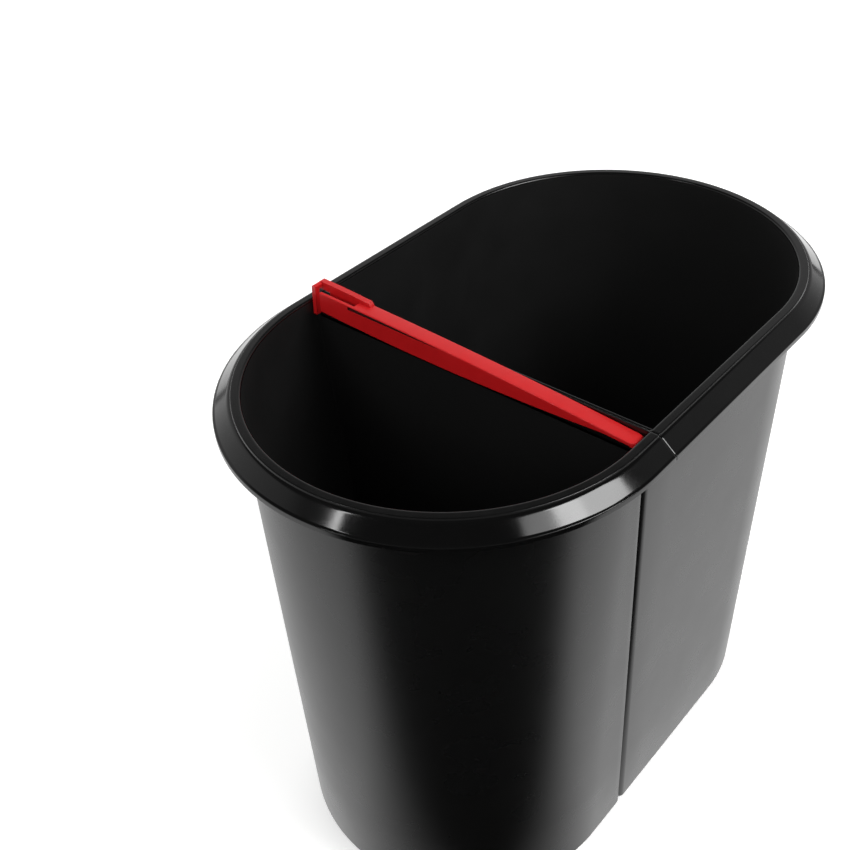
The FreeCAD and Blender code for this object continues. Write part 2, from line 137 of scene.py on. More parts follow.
# %% Prism helper
AXES = {"x": Vector((1, 0, 0)), "y": Vector((0, 1, 0)), "z": Vector((0, 0, 1))}


def prism(bm, outline, axis, start, end):
    """A solid between start and end along an axis. outline holds the two other coordinates."""
    rest = [letter for letter in "xyz" if letter != axis]
    verts = []
    for first, second in outline:
        place = AXES[axis] * start + AXES[rest[0]] * first + AXES[rest[1]] * second
        verts.append(bm.verts.new(place))
    face = bm.faces.new(verts)
    grown = bmesh.ops.extrude_face_region(bm, geom=[face])["geom"]
    moved = [item for item in grown if isinstance(item, bmesh.types.BMVert)]
    bmesh.ops.translate(bm, vec=AXES[axis] * (end - start), verts=moved)
    faces = {linked for vert in verts + moved for linked in vert.link_faces}
    bmesh.ops.recalc_face_normals(bm, faces=list(faces))


def arc(cx, cy, radius, first, last, steps):
    """Points of an arc, angles in degrees."""
    turn = [radians(first + (last - first) * step / steps) for step in range(steps + 1)]
    return [(cx + radius * cos(angle), cy + radius * sin(angle)) for angle in turn]


def rectangle(left, low, right, high):
    """The corners of a rectangle."""
    return [(left, low), (right, low), (right, high), (left, high)]

# %% [markdown]
# Where two solids meet at many edges, a Boolean modifier finds all of them. It is applied at once
# through the evaluated mesh, so that the finished piece carries no live boolean and no helper
# object.

# %% Boolean helpers
def temporary(name, bm):
    """A helper object for a boolean."""
    mesh = bpy.data.meshes.new(name)
    bm.to_mesh(mesh)
    bm.free()
    item = bpy.data.objects.new(name, mesh)
    bpy.context.scene.collection.objects.link(item)
    return item


def combine(base, tool, operation):
    """Apply one boolean to a base object and remove the tool."""
    step = base.modifiers.new("join", "BOOLEAN")
    step.operation = operation
    step.solver = "EXACT"
    step.object = tool
    bpy.context.view_layer.update()
    seen = base.evaluated_get(bpy.context.evaluated_depsgraph_get())
    result = bpy.data.meshes.new_from_object(seen)
    base.modifiers.clear()
    base.data = result
    bpy.data.objects.remove(tool)

# %% [markdown]
# ## Helpers for materials
# Colours are written as sRGB hex values, because that is how they are picked, and `linear` turns
# them into what the shader needs. `add` puts one node in a tree with its settings and links, so a
# material reads as a short list of nodes.

# %% Material helpers
def linear(hex_colour):
    """An sRGB hex colour as linear RGBA, by the standard's own curve."""
    parts = [int(hex_colour[index:index + 2], 16) / 255 for index in (1, 3, 5)]
    levels = [part / 12.92 if part <= 0.04045 else ((part + 0.055) / 1.055) ** 2.4 for part in parts]
    return levels + [1.0]


def add(tree, kind, settings=None, **inputs):
    """One node with its settings and inputs, named or numbered as i0, i1 and so on.

    An input is a value, or an output socket to link from.
    """
    node = tree.nodes.new(kind)
    for name, value in (settings or {}).items():
        setattr(node, name, value)
    for name, value in inputs.items():
        numbered = name[0] == "i" and name[1:].isdigit()
        socket = node.inputs[int(name[1:]) if numbered else name.replace("_", " ")]
        if isinstance(value, bpy.types.NodeSocket):
            tree.links.new(value, socket)
        else:
            socket.default_value = value
    return node


def new_material(name, base, roughness, specular=0.5):
    """A principled material and its tree, object coordinates and shader."""
    material = bpy.data.materials.new(name)
    material.use_nodes = True
    tree = material.node_tree
    shader = tree.nodes["Principled BSDF"]
    shader.inputs["Base Color"].default_value = linear(base)
    shader.inputs["Roughness"].default_value = roughness
    shader.inputs["Specular IOR Level"].default_value = specular
    material.diffuse_color = linear(base)
    place = add(tree, "ShaderNodeTexCoord").outputs["Object"]
    return material, tree, shader, place

# %% [markdown]
# Two patterns come back in every plastic here. Its gloss drifts in patches, because the melt cools
# unevenly, and its skin carries the grain of the mould. Both are noise whose scale is one over a
# real size in metres. Noise keeps to the middle of its range, so 0.3 to 0.7 is spread over the
# roughness. A spark-eroded mould's real grain is about 0.1 mm, too fine to show, so the finishes
# draw theirs at 0.4 to 1.2 mm and keep it very shallow.

# %% Gloss drift and mould grain
def vary_roughness(tree, shader, place, size_mm, low, high):
    """Roughness that drifts over the surface in patches of a given size."""
    noise = add(tree, "ShaderNodeTexNoise", Vector=place, Scale=1 / (size_mm * MM), Detail=3.0)
    spread = add(tree, "ShaderNodeMapRange", i0=noise.outputs["Fac"], i1=0.3, i2=0.7, i3=low, i4=high)
    tree.links.new(spread.outputs["Result"], shader.inputs["Roughness"])


def grain(tree, shader, place, size_mm, height_mm):
    """Bump of a moulded surface texture with a given grain size and depth."""
    noise = add(tree, "ShaderNodeTexNoise", Vector=place, Scale=1 / (size_mm * MM), Detail=2.0)
    bump = add(tree, "ShaderNodeBump", Height=noise.outputs["Fac"], Distance=height_mm * MM,
               Strength=1.0)
    tree.links.new(bump.outputs["Normal"], shader.inputs["Normal"])

# %% [markdown]
# ## Black polypropylene, four finishes
# Both tubs are moulded in black polypropylene, and only the mould's surface differs. The outside of
# the walls comes from a finely spark-eroded mould, which leaves an even satin skin with soft, wide
# reflections. The inside is a duller, coarser skin that stays dark and nearly even to the eye. Its
# black is lighter than the outside's: painted light, standing in for the light that reaches into the
# tub.

# %% Satin outside and matt inside
satin_black, tree, shader, place = new_material("satin_moulded_black_polypropylene", "#070707", 0.28)
vary_roughness(tree, shader, place, 30, 0.265, 0.295)
grain(tree, shader, place, 1.2, 0.004)

# painted light: the inside's base black is lighter than the outside's, to stand in for the light inside
# the tubs
matt_black_with_painted_light_inside, tree, shader, place = new_material("matt_black_polypropylene_inside_lightened_as_painted_light", "#111111",
                                               0.5)
vary_roughness(tree, shader, place, 40, 0.46, 0.56)
grain(tree, shader, place, 1.2, 0.008)
print("wall finishes:", satin_black.name, matt_black_with_painted_light_inside.name)

# %% [markdown]
# The flat bead beside the opening is where hands and bags rub, so it is smoother than the walls and
# shows a soft edge of light. The sloped skirt comes from a polished part of the mould: it mirrors
# the lamps sharply, bent a little by flow waves about 28 mm long, and dulled by very fine scuffing,
# which is drawn at 1.2 mm so that it shows at all.

# %% Rubbed bead and polished skirt
bead_black, tree, shader, place = new_material("rubbed_black_polypropylene_bead", "#050505", 0.20)
vary_roughness(tree, shader, place, 12, 0.17, 0.24)
grain(tree, shader, place, 0.8, 0.006)

polished_black, tree, shader, place = new_material("polished_black_polypropylene_rim", "#060606",
                                                   0.11)
vary_roughness(tree, shader, place, 20, 0.08, 0.14)
wave = add(tree, "ShaderNodeTexNoise", Vector=place, Scale=1 / (28 * MM), Detail=1.0)
scuff = add(tree, "ShaderNodeTexNoise", Vector=place, Scale=1 / (1.2 * MM), Detail=4.0)
flow = add(tree, "ShaderNodeBump", Height=wave.outputs["Fac"], Distance=0.03 * MM, Strength=0.7)
rubbed = add(tree, "ShaderNodeBump", Height=scuff.outputs["Fac"], Distance=0.005 * MM, Strength=0.8,
             Normal=flow.outputs["Normal"])
tree.links.new(rubbed.outputs["Normal"], shader.inputs["Normal"])
print("rim finishes:", bead_black.name, polished_black.name)

# %% [markdown]
# ## Red polypropylene
# The bar is dyed through with a strong signal red. Its mould is smooth but not polished, so it has
# a soft sheen, and the colour drifts a little where the melt flowed. The pigment lets a little
# light in, which a small subsurface share would give, but at 2 mm thick it hardly shows, so it is
# left out. The walls of the slit under its front edge get a darker, duller red of their own: painted
# shade, standing in for the shadow under the top's front edge.

# %% Reds for the bar and its slit
signal_red, tree, shader, place = new_material("smooth_moulded_signal_red_polypropylene", "#c2181a",
                                               0.33)
drift = add(tree, "ShaderNodeTexNoise", Vector=place, Scale=1 / (9 * MM), Detail=3.0)
tint = add(tree, "ShaderNodeMix", {"data_type": "RGBA"}, i0=drift.outputs["Fac"],
           i6=linear("#bb1619"), i7=linear("#c91b1e"))
tree.links.new(tint.outputs[2], shader.inputs["Base Color"])
vary_roughness(tree, shader, place, 6, 0.30, 0.44)
grain(tree, shader, place, 0.7, 0.008)

# painted shade: the slit's dark red stands in for the shadow under the top's front edge
painted_shade_red, tree, shader, place = new_material("red_polypropylene_with_painted_shade_in_the_slit", "#2a0809",
                                              0.7)
vary_roughness(tree, shader, place, 3, 0.6, 0.8)
grain(tree, shader, place, 0.4, 0.02)
print("red finishes:", signal_red.name, painted_shade_red.name)

# %% [markdown]
# ## The rolled rim
# The rim is one section swept round the tub: a flat bead beside the opening, a sloped skirt and a
# short upright band at the outer edge. A curve with a bevel object could sweep it, but spinning the
# section half a turn with `bmesh.ops.spin` and then extruding both ends straight keeps the section
# exact and its loops even, which a glossy surface needs. Short edges beside each bend hold its
# shape.

# %% Section of the rim
BEAD_EDGE = OUTSIDE + 4.0
BEAD_ROLL, BEAD_LIP = 1.6, 0.55  # radii towards the opening and towards the skirt
BAND, BAND_ROLL = 3.4, 0.8  # height of the upright band and radius above it
RIM_PLATE = 1.8


def rim_section():
    """Points (distance from the round end's centre, height) of the rim's section."""
    band_top = SKIRT_FOOT + BAND
    under = RIM_TOP - 0.7 - RIM_PLATE
    points = [(INSIDE, SKIRT_FOOT), (INSIDE, RIM_TOP - BEAD_ROLL - 2.0)]
    points += arc(INSIDE + BEAD_ROLL, RIM_TOP - BEAD_ROLL, BEAD_ROLL, 180, 90, 6)
    points += [(INSIDE + 2.1, RIM_TOP), (BEAD_EDGE - 1.0, RIM_TOP)]
    points += arc(BEAD_EDGE - 0.5, RIM_TOP - BEAD_LIP, BEAD_LIP, 80, 10, 4)
    points += [(BEAD_EDGE + 0.35, RIM_TOP - 0.95)]
    points += [(BEAD_EDGE + 1.1, RIM_TOP - 1.05), (BEAD_EDGE + 1.7, RIM_TOP - 1.35)]
    start = Vector((BEAD_EDGE + 2.3, RIM_TOP - 1.8))
    end = Vector((RIM_EDGE - 1.3, band_top + 0.55))
    points += [tuple(start.lerp(end, share)) for share in (0, 0.06, 0.5, 0.94, 1)]
    points += arc(RIM_EDGE - BAND_ROLL, band_top - 0.35, BAND_ROLL, 52, 0, 4)
    points += [(RIM_EDGE, SKIRT_FOOT + 0.5), (RIM_EDGE - 0.4, SKIRT_FOOT)]
    points += [(RIM_EDGE - 1.4, SKIRT_FOOT), (RIM_EDGE - RIM_PLATE, SKIRT_FOOT + 0.4)]
    points += [(RIM_EDGE - RIM_PLATE, band_top - RIM_PLATE)]
    points += [(BEAD_EDGE, under), (OUTSIDE, under), (OUTSIDE, SKIRT_FOOT)]
    return points


section = rim_section()
print("rim section points:", len(section))

# %% [markdown]
# The two rims meet at the seam with square-cut ends, whose edges are rounded a little. The last
# step before the end is short: without it the smooth shading would run far back from the cut and
# show as a false highlight. The finishes are laid on by place: the bead, the inside, and the skirt
# for the rest.

# %% Sweep the rims
ROUND_STEPS = 112
STRAIGHT_STEPS = 5
LAST_STEP, END_ROUND = 1.2, 0.2


def rim(name, body, side, seam_y):
    """A rim round one end of the oval. side is +1 for the large tub and -1 for the small one."""
    bm = bmesh.new()
    centre_y = side * ROUND_Y
    verts = [bm.verts.new((reach, centre_y, height)) for reach, height in section]
    edges = [bm.edges.new((verts[index - 1], verts[index])) for index in range(len(verts))]
    turned = bmesh.ops.spin(bm, geom=verts + edges, cent=(0, centre_y, 0), axis=(0, 0, 1),
                            angle=side * pi, steps=ROUND_STEPS, use_merge=False, use_duplicate=False)
    far_edges = [item for item in turned["geom_last"] if isinstance(item, bmesh.types.BMEdge)]
    run = seam_y - centre_y
    last = LAST_STEP if run > 0 else -LAST_STEP
    for ends in (edges, far_edges):
        for step in [(run - last) / STRAIGHT_STEPS] * STRAIGHT_STEPS + [last]:
            grown = bmesh.ops.extrude_edge_only(bm, edges=ends)["geom"]
            moved = [item for item in grown if isinstance(item, bmesh.types.BMVert)]
            bmesh.ops.translate(bm, vec=(0, step, 0), verts=moved)
            ends = [item for item in grown if isinstance(item, bmesh.types.BMEdge)
                    and all(vert in moved for vert in item.verts)]
        cap = bmesh.ops.contextual_create(bm, geom=ends)["faces"]
        bmesh.ops.bevel(bm, geom=[edge for face in cap for edge in face.edges], offset=END_ROUND,
                        segments=2, profile=0.5, affect="EDGES", material=-1, clamp_overlap=True)
    bmesh.ops.recalc_face_normals(bm, faces=bm.faces)
    for face in bm.faces:
        middle = face.calc_center_median()
        on_straight = side * (middle.y - centre_y) < 0
        reach = abs(middle.x) if on_straight else hypot(middle.x, middle.y - centre_y)
        on_bead = reach < BEAD_EDGE + 0.2 and middle.z > RIM_TOP - 1.4
        face.material_index = 1 if on_bead else 2 if reach < OUTSIDE + 0.1 else 0
    finishes = [polished_black, bead_black, matt_black_with_painted_light_inside]
    finish_piece(name, bm, body, [], finishes, sharp=32)


rim("large_tub_rim", "large_tub", 1, SEAM_Y + SEAM_GAP / 2)
rim("small_tub_rim", "small_tub", -1, SEAM_Y - SEAM_GAP / 2)

# %% [markdown]
# ## The tub shells
# Each tub is a D in plan that gets smaller towards the floor, and its dividing wall also leans. The
# D is drawn once, as a function of its radius, its flat and its corner, and the shell is a stack of
# such loops joined by `bmesh.ops.bridge_loops`: up the outside, over the edge and down the inside.
# A loft in CAD does the same. Solidify would be shorter, but it thins the wall where it leans.

# %% Plan of a tub
SIDE_STEPS, FLAT_STEPS = 6, 16
QUARTER = [radians(angle) for angle in range(0, 91, 15)]


def plan(radius, flat, side, corner):
    """Points of the D-shaped plan."""
    centre_y = side * ROUND_Y
    start, end = (0, 180) if side > 0 else (0, -180)
    points = arc(0, centre_y, radius, start, end, ROUND_STEPS)
    run = flat + side * corner - centre_y
    points += [(-radius, centre_y + run * step / SIDE_STEPS) for step in range(1, SIDE_STEPS)]
    left = [(-radius + corner * (1 - cos(a)), flat + side * corner * (1 - sin(a))) for a in QUARTER]
    right = [(-x, y) for x, y in reversed(left)]
    first, width = left[-1][0], right[0][0] - left[-1][0]
    across = [(first + width * step / FLAT_STEPS, flat) for step in range(1, FLAT_STEPS)]
    points += left + across + right
    points += [(radius, centre_y + run * step / SIDE_STEPS) for step in range(SIDE_STEPS - 1, 0, -1)]
    return points


print("points round a plan:", len(plan(OUTSIDE, SEAM_Y, 1, CORNER)))

# %% [markdown]
# The loops follow the shell from the middle of its underside round the foot, up, over the top edge
# and down to the floor inside. The foot is rounded, and inside the floor meets the wall in a cove.

# %% Levels of a shell
LEVELS = [60, 120, 180, 240, 300]
FOOT_ROUND, COVE = 3.0, 2.5


def narrowing(height):
    """How far below the collar a height is, from 0 at its foot to 1 on the floor."""
    return max(0.0, 1 - height / COLLAR_FOOT)


def shell_loop(bm, side, flat, inset, height):
    """One loop of the shell at a height, drawn in from the outside by an inset."""
    below = narrowing(height)
    radius = OUTSIDE - DRAFT * below - inset
    line = flat + LEAN * below + side * inset
    corner = max(CORNER - inset, TIGHTEST_CORNER)
    verts = [bm.verts.new((x, y, height)) for x, y in plan(radius, line, side, corner)]
    return [bm.edges.new((verts[index - 1], verts[index])) for index in range(len(verts))]


def shell_levels(top):
    """Pairs (inset, height) from the underside, over the top edge, to the floor inside."""
    outside = [(FOOT_ROUND * (1 - sin(a)), FOOT_ROUND * (1 - cos(a))) for a in QUARTER]
    outside += [(0, height) for height in LEVELS + [COLLAR_FOOT, top]]
    inside = [(WALL, height) for height in [top, COLLAR_FOOT] + LEVELS[::-1]]
    inside += [(WALL + COVE * (1 - cos(a)), FLOOR + COVE * (1 - sin(a))) for a in QUARTER]
    return outside + inside


def shell(bm, side, flat, top):
    """A closed shell: bridged loops, with the two floors filled."""
    levels = shell_levels(top)
    loops = [shell_loop(bm, side, flat, inset, height) for inset, height in levels]
    for index in range(1, len(loops)):
        joined = bmesh.ops.bridge_loops(bm, edges=loops[index - 1] + loops[index])["faces"]
        for face in joined:
            face.material_index = 1 if levels[index - 1][0] >= WALL else 0
    for index, ends in enumerate((loops[0], loops[-1])):
        for face in bmesh.ops.contextual_create(bm, geom=ends)["faces"]:
            face.material_index = index
    bmesh.ops.recalc_face_normals(bm, faces=bm.faces)


print("loops in a shell:", len(shell_levels(SKIRT_FOOT)))

# %% [markdown]
# The small tub's shell goes right up under its rim. A notch in its dividing wall, beside the hinge,
# lets the bar's round nose swing down into it when the bar is opened.

# %% Small tub's shell
bm = bmesh.new()
shell(bm, -1, SMALL_FACE, SKIRT_FOOT)
small_shell = temporary("small_shell", bm)
bm = bmesh.new()
prism(bm, rectangle(PIN_X + 1, NOTCH, INSIDE + 0.2, SKIRT_FOOT + 2), "y", SMALL_FACE - WALL - 2.2,
      SMALL_FACE + 0.5)
combine(small_shell, temporary("notch", bm), "DIFFERENCE")
bm = bmesh.new()
bm.from_mesh(small_shell.data)
bpy.data.objects.remove(small_shell)
finish_piece("small_tub_shell", bm, "small_tub", ["front_container"],
             [satin_black, matt_black_with_painted_light_inside])

# %% [markdown]
# The large tub's shell stops lower, at the bottom of the gutter in its dividing wall. Above that
# the gutter, the bead and an upright collar are pieces of their own, so the leaning wall stays
# simple.

# %% Large tub's shell
GUTTER = RIM_TOP - 22.0
bm = bmesh.new()
shell(bm, 1, RIB_FACE, GUTTER)
finish_piece("large_tub_shell", bm, "large_tub", ["rear_container"],
             [satin_black, matt_black_with_painted_light_inside])

# %% [markdown]
# ## The dividing walls' tops
# The small tub's dividing wall stops 7 mm below the rim, and near one end it has the notch and a
# C-shaped socket. The socket's mouth is narrower than the bar's pin, so that the pin snaps in. The
# wall is one outline, extruded with `prism`, and a narrow bevel takes the mould's sharpness off.

# %% Small tub's dividing wall and socket
SEAT = RIM_TOP - 7.0
HALF_MOUTH, SOCKET, BOSS = 1.25, 1.56, 2.9
wall_end, wall_foot = OUTSIDE - 1.5, SKIRT_FOOT - 2

outline = [(-wall_end, wall_foot), (-wall_end, SEAT), (PIN_X - HALF_MOUTH, SEAT)]
lip = acos(HALF_MOUTH / SOCKET) * 180 / pi
outline += arc(PIN_X, PIN_Z, SOCKET, 180 - lip, 360 + lip, 20)
outline += arc(PIN_X, PIN_Z, BOSS, acos(HALF_MOUTH / BOSS) * 180 / pi, 0, 6)
outline += [(PIN_X + BOSS, NOTCH), (wall_end, NOTCH), (wall_end, wall_foot)]
bm = bmesh.new()
prism(bm, outline, "y", SMALL_FACE - WALL, SMALL_FACE)
finish_piece("small_tub_dividing_wall_top", bm, "small_tub", [], [satin_black],
             edge_round=0.25)

# %% [markdown]
# The large tub's wall ends in a gutter: a thin rib in front, which the bar reaches over, and behind
# it a rounded bead that is level with the rim. Two upright corner pieces close the gutter's ends.

# %% Large tub's gutter, rib and bead
RIDGE, RIB = 3.0, 1
ridge_back = SEAM_Y + WALL
foot = GUTTER - 1
rib_end = INSIDE - 15.7
bm = bmesh.new()
bead = [(SEAM_Y, foot)] + arc(SEAM_Y + RIDGE / 2, RIM_TOP - RIDGE / 2, RIDGE / 2, 180, 0, 12)
bead += [(SEAM_Y + RIDGE, SEAT), (ridge_back, SEAT - RIDGE), (ridge_back, foot)]
prism(bm, bead, "x", -INSIDE - 0.6, INSIDE + 0.6)
prism(bm, [(RIB_FACE, foot), (RIB_FACE, SEAT), (RIB_FACE + RIB, SEAT), (RIB_FACE + RIB, foot)],
      "x", -rib_end, rib_end)
for hand in (-1, 1):
    turn = arc(CORNER, CORNER, CORNER, 180, 270, 6)
    end = [(hand * (OUTSIDE - x), RIB_FACE + y) for x, y in turn]
    end += [(hand * (OUTSIDE - CORNER), RIB_FACE + RIB), (hand * INSIDE, RIB_FACE + CORNER),
            (hand * INSIDE, ridge_back), (hand * OUTSIDE, ridge_back)]
    prism(bm, end, "z", foot, SKIRT_FOOT - SEAM_GAP)
finish_piece("large_tub_gutter_rib_and_bead", bm, "large_tub", [], [bead_black],
             edge_round=0.2)

# %% [markdown]
# Under the rim the large tub's wall stands upright for about 10 mm. This collar is one flat ring
# between two plans, extruded up: four bridged loops would do too, but the last bridge may twist.

# %% Upright collar of the large tub
bm = bmesh.new()
collar = []
for inset in (0, WALL):
    points = plan(OUTSIDE - inset, SEAM_Y + SEAM_GAP / 2 + inset, 1, TIGHTEST_CORNER)
    verts = [bm.verts.new((x, y, GUTTER)) for x, y in points]
    collar += [bm.edges.new((verts[index - 1], verts[index])) for index in range(len(verts))]
ring = bmesh.ops.bridge_loops(bm, edges=collar)["faces"]
grown = bmesh.ops.extrude_face_region(bm, geom=ring)["geom"]
lifted = [item for item in grown if isinstance(item, bmesh.types.BMVert)]
bmesh.ops.translate(bm, vec=(0, 0, SKIRT_FOOT - GUTTER), verts=lifted)
bmesh.ops.recalc_face_normals(bm, faces=bm.faces)
for face in bm.faces:
    outward = face.calc_center_median() - Vector((0, ROUND_Y / 2, 0))
    face.material_index = 1 if face.normal.x * outward.x + face.normal.y * outward.y < -0.5 else 0
print("collar volume in cm3:", round(bm.calc_volume() / 1000, 1))
finish_piece("large_tub_collar", bm, "large_tub", [], [satin_black, matt_black_with_painted_light_inside])

# %% [markdown]
# ## The coupling bar
# The bar is a channel: a crowned top with two legs that get deeper towards the free end, so that
# its lower edge is a long curve. The section is drawn at many stations and bridged, which lets the
# depth, the crown and the rounded nose change along it. It is drawn shut and level in its own place
# on the pin, and turned to its rest angle at the end.

# %% Sizes of the bar, from its pin
BAR = 10.5
FRONT_LEG, REAR_LEG, PLATE = 1.8, 1.2, 2.0
REST = -pin_joint["range_deg"][0]
BAR_BACK = SEAM_Y - 0.35
TOP, CROWN = 5.2, 1.8  # height of the top's ends, and of its middle above them
NOSE, NOSE_ROUND = 4.2, 1.8
LEG_START = -16.0
MIDDLE_DEPTH, END_DEPTH = 9.6, 13.5
LEG_END = 7.7 - INSIDE - PIN_X
PULL_END = 1.2 - INSIDE - PIN_X
WINDOW_END = PULL_END + 34.5
STRIP_END = PULL_END + 43.5


def through(first, middle, last):
    """The circle arc through three points, as a function that gives y for x."""
    (ax, ay), (bx, by), (cx, cy) = first, middle, last
    d = 2 * (ax * (by - cy) + bx * (cy - ay) + cx * (ay - by))
    ux = ((ax**2 + ay**2) * (by - cy) + (bx**2 + by**2) * (cy - ay) + (cx**2 + cy**2) * (ay - by)) / d
    uy = ((ax**2 + ay**2) * (cx - bx) + (bx**2 + by**2) * (ax - cx) + (cx**2 + cy**2) * (bx - ax)) / d
    radius = hypot(ax - ux, ay - uy)
    above = 1 if by > uy else -1
    return lambda x: uy + above * sqrt(radius**2 - (x - ux) ** 2)


roof_z = TOP - PLATE
crown = through((NOSE - NOSE_ROUND, TOP), (LEG_END / 2, TOP + CROWN), (LEG_END, TOP))
under_crown = through((LEG_START, roof_z), (LEG_END / 2, roof_z + CROWN), (LEG_END, roof_z))
edge_curve = through((LEG_START, roof_z), (0.4 * LEG_END + 0.5 * LEG_START, TOP - MIDDLE_DEPTH),
                     (LEG_END, TOP - END_DEPTH))
print("leg depth at the free end:", END_DEPTH, "mm; crown", CROWN, "mm")
print("rest angle:", round(REST, 2), "degrees")

# %% [markdown]
# One section is a closed loop of eighteen points: up the front leg, over the softened top, down the
# rear leg and back along the inside. Towards the nose the section narrows and dips on two circle
# arcs.

# %% Channel of the bar
EDGE_ROUND = 0.7
NOSE_WIDTH = BAR / 3
NOSE_DIP = 0.75
NOSE_START = NOSE - 3.5


def station(bm, x):
    """One section of the channel at a place along the bar."""
    narrow, drop = 0.0, 0.0
    start = NOSE - NOSE_WIDTH
    if x > start:
        narrow = NOSE_WIDTH - sqrt(max(NOSE_WIDTH**2 - (x - start) ** 2, 0))
    if x > NOSE - NOSE_ROUND:
        drop = NOSE_ROUND - sqrt(max(NOSE_ROUND**2 - (x - NOSE + NOSE_ROUND) ** 2, 0))
    top = (crown(x) if x < NOSE - NOSE_ROUND else TOP) - drop * NOSE_DIP
    foot = edge_curve(x) if x < LEG_START else roof_z
    roof = max(under_crown(x) if x < LEG_START else roof_z, foot + 0.01)
    front, back, soft = narrow - BAR, -narrow, EDGE_ROUND
    points = [(front, foot), (front, top - soft)] + arc(front + soft, top - soft, soft, 160, 90, 4)
    points += arc(back - soft, top - soft, soft, 90, 20, 4) + [(back, top - soft), (back, foot)]
    points += [(-REAR_LEG - narrow, foot), (-REAR_LEG - narrow, roof)]
    points += [(FRONT_LEG - BAR + narrow, roof), (FRONT_LEG - BAR + narrow, foot)]
    verts = [bm.verts.new((x, y, z)) for y, z in points]
    return verts, [bm.edges.new((verts[index - 1], verts[index])) for index in range(len(verts))]


def channel():
    """The channel as a closed mesh, with stations closer together round the nose."""
    bm = bmesh.new()
    places = [LEG_END + (LEG_START - LEG_END) * step / 60 for step in range(61)]
    places += [LEG_START + (NOSE_START - LEG_START) * step / 6 for step in range(1, 7)]
    places += [NOSE_START + 3.45 * sin(radians(angle)) for angle in range(12, 91, 13)]
    stations = [station(bm, x) for x in places]
    for (_, first), (_, second) in zip(stations, stations[1:]):
        bmesh.ops.bridge_loops(bm, edges=first + second)
    for verts, _ in (stations[0], stations[-1]):
        bm.faces.new(verts)
    bmesh.ops.recalc_face_normals(bm, faces=bm.faces)
    print("bar stations:", len(stations), "of", len(stations[0][0]), "points")
    return bm


bar = temporary("bar_channel", channel())

# %% [markdown]
# ### Finger window
# At the free end a finger goes through a window in the bar's top, in front of a raised strip. It is
# a plain box cut out of the plate.

# %% Cut the window
STRIP_FRONT = -3.85
bm = bmesh.new()
prism(bm, rectangle(PULL_END - 2, FRONT_LEG - BAR, WINDOW_END, STRIP_FRONT), "z", TOP - 3.5, TOP + 6)
combine(bar, temporary("window", bm), "DIFFERENCE")
print("window reaches", round(WINDOW_END - PULL_END, 1), "mm from the free end")

# %% [markdown]
# ### Slit under the front edge
# Below the top's front edge runs a fine dark line that gets thinner away from the window. A dark
# stripe in the material alone would be flat, so it is a real slit, 1 mm deep, that follows the crown.
# Its walls also get painted shade later, because so shallow a slit is lit and does not read dark.

# %% Cut the slit
SLIT_LENGTH, SLIT_DEPTH = 68, 1.0


def slit_edges(x):
    """Upper and lower height of the slit at a place along the bar."""
    share = min(max((x - WINDOW_END) / SLIT_LENGTH, 0), 1)
    return crown(x) - 0.8, crown(x) - 0.9 - 2.0 * (1 - share) ** 0.7


bm = bmesh.new()
along = [WINDOW_END - 4 + step * 6 for step in range(13)]
slit = [(x, slit_edges(x)[0]) for x in along] + [(x, slit_edges(x)[1]) for x in reversed(along)]
prism(bm, slit, "y", -BAR - 1, -BAR + SLIT_DEPTH)
combine(bar, temporary("groove", bm), "DIFFERENCE")
print("slit from", round(along[0], 1), "to", round(along[-1], 1), "mm")

# %% [markdown]
# ### Finger strip, end wall and tongue
# The raised strip is what the finger pulls on. A wall closes the free end over the bar's whole
# width, and a tongue goes down from its front. They are prisms joined to the channel with booleans.

# %% Join the strip, the end wall and the tongue
CREST = TOP + 3.5
END_WALL = 3
TONGUE_WIDTH, TONGUE_DROP = 3.65, 17.7
bm = bmesh.new()
strip = [(PULL_END, TOP - PLATE), (STRIP_END, TOP - PLATE), (STRIP_END, TOP + 0.8)]
strip += [(STRIP_END - 0.5, TOP + 2.0), (STRIP_END - 1.8, CREST)]
strip += [(STRIP_END - 8 - step * 4, CREST + 0.2 * sin(pi * step / 7)) for step in range(8)]
strip += arc(PULL_END + 1.5, CREST - 1.5, 1.5, 90, 180, 5)
prism(bm, strip, "y", STRIP_FRONT, 0)
combine(bar, temporary("strip", bm), "UNION")

bm = bmesh.new()
pull = [(PULL_END, TOP), (PULL_END + END_WALL, TOP), (PULL_END + END_WALL, CREST - 1)]
pull += arc(PULL_END + 1.2, CREST - 1.5, 1.2, 60, 180, 5)
prism(bm, pull, "y", -BAR, -0.01)
combine(bar, temporary("pull", bm), "UNION")

bm = bmesh.new()
prism(bm, rectangle(PULL_END, TOP - TONGUE_DROP, PULL_END + END_WALL, TOP + 1), "y", -BAR,
      TONGUE_WIDTH - BAR)
combine(bar, temporary("tongue", bm), "UNION")
print("faces of the bar with its pull:", len(bar.data.polygons))

# %% [markdown]
# ### Hinge
# At the other end a round lug hangs from the plate and carries the cross pin. The pin is moulded
# on: it saves a loose part, and the soft plastic of the socket gives enough for it to snap in.

# %% Hinge lug and cross pin
LUG, PIN, PIN_END = 3.2, 1.5, -6.05
lug_top = TOP - PLATE / 2
bm = bmesh.new()
prism(bm, arc(0, 0, LUG, 180, 360, 16) + [(LUG, lug_top), (-LUG, lug_top)], "y", -REAR_LEG, 0)
combine(bar, temporary("lug", bm), "UNION")

bm = bmesh.new()
prism(bm, arc(0, 0, PIN, 0, 350, 35), "y", PIN_END, -REAR_LEG / 2)
combine(bar, temporary("pin", bm), "UNION")
print("pin:", PIN * 2, "mm across in a socket of", SOCKET * 2, "mm")
